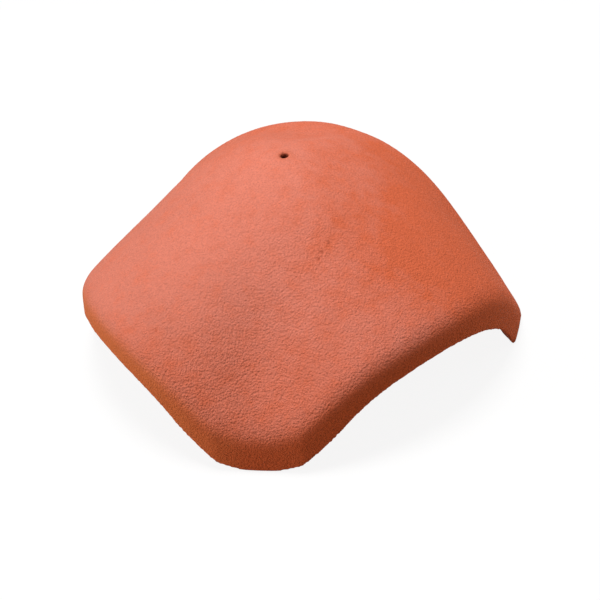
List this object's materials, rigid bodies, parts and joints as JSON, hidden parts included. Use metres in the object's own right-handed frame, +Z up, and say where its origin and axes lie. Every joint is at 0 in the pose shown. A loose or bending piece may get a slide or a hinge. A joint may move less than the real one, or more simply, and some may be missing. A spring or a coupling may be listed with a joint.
{
  "type": "hip distributor tile",
  "caption": "Moulded three-way roof cap with rounded arms and arched open ends that covers the point where a ridge meets two hips, with a nail hole through its crest.",
  "frame": {"origin": "on the ground under the middle of the bounding box, with the tile standing on its three feet", "axes": "+Z up, +Y along the ridge arm towards the ridge end, -Y towards the front apron, the tile mirrored about the YZ plane"},
  "size_m": [0.3236, 0.2594, 0.1537],
  "materials": {
    "terracotta_concrete": "matte moulded concrete with a fine sandy grain"
  },
  "bodies": {
    "root": {"hip_cap": "terracotta_concrete"}
  },
  "joints": []
}
